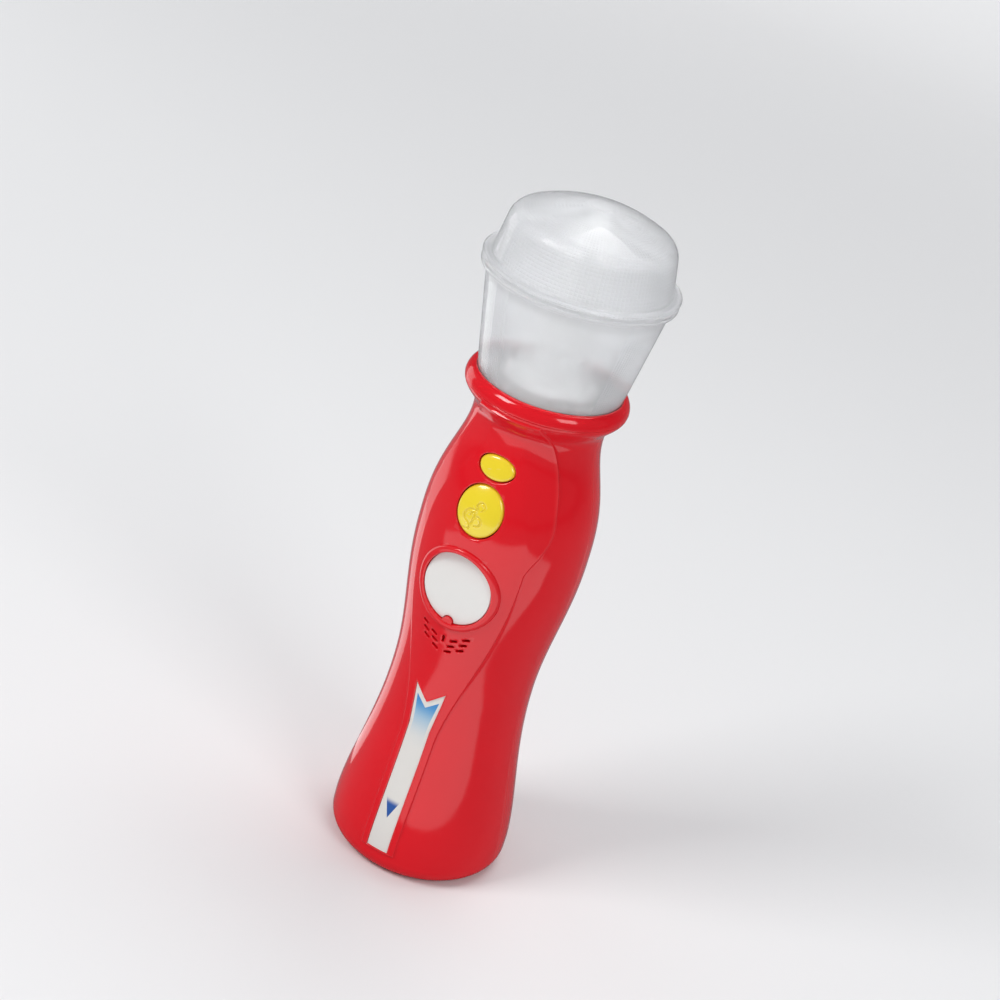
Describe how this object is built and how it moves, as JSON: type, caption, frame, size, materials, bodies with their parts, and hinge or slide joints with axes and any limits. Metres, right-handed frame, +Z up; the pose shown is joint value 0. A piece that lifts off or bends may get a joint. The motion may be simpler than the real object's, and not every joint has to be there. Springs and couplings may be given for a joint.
{
  "type": "toy microphone",
  "caption": "Toy hand microphone with a waisted red handle, push buttons, a sound grille and a frosted light-up head.",
  "frame": {"origin": "centre of the flat foot's underside", "axes": "+Z runs up the handle through the head, and the button side faces -Y"},
  "size_m": [0.0604, 0.0604, 0.2282],
  "materials": {
    "red_plastic": "glossy moulded",
    "frosted_plastic": "frosted, lets light through",
    "white_plastic": "satin",
    "yellow_plastic": "glossy moulded",
    "printed_label": "printed film, blue fading to white",
    "board": "varnished circuit board",
    "lamp": "clear moulded lamps",
    "black_plastic": "matt black",
    "cone_paper": "matt pressed paper",
    "steel": "plated",
    "rubber": "soft silicone",
    "cell": "plain sleeved cell",
    "yellow_wire": "sleeved wire",
    "black_wire": "sleeved wire",
    "red_wire": "sleeved wire"
  },
  "bodies": {
    "handle": {"front_shell": "red_plastic", "back_shell": "red_plastic", "collar_ring": "red_plastic", "head_cup": "frosted_plastic", "head_dome": "frosted_plastic", "light_tower": "white_plastic", "led_board": "board", "leds": "lamp", "rubber_keypad": "rubber", "main_board": "board", "chip_cap": "black_plastic", "capacitor": "black_plastic", "board_screws": "steel", "speaker_frame": "steel", "speaker_cone": "cone_paper", "speaker_magnet": "steel", "round_plate": "white_plastic", "ribbon_label": "printed_label", "battery_bay": "red_plastic", "battery_left": "cell", "battery_right": "cell", "spring_contacts": "steel", "flat_contacts": "steel", "shell_screws": "steel", "led_wires": "yellow_wire", "speaker_wires": "black_wire", "battery_wires": "red_wire"},
    "small_button": {"small_button": "yellow_plastic"},
    "large_button": {"large_button": "yellow_plastic"},
    "battery_door": {"battery_door": "red_plastic", "door_screws": "steel"}
  },
  "joints": [
    {"name": "small_button_press", "type": "slide", "parent": "handle", "child": "small_button", "axis": [0, 1, 0], "range_m": [0, 0.0012], "stiffness_N_per_m": 400, "springref_m": -0.0005, "deforming": ["rubber_keypad"]},
    {"name": "large_button_press", "type": "slide", "parent": "handle", "child": "large_button", "axis": [0, 1, 0], "range_m": [0, 0.0012], "stiffness_N_per_m": 400, "springref_m": -0.0005, "deforming": ["rubber_keypad"]},
    {"name": "battery_door_lift", "type": "slide", "parent": "handle", "child": "battery_door", "axis": [0, 1, 0], "range_m": [0, 0.02]}
  ]
}
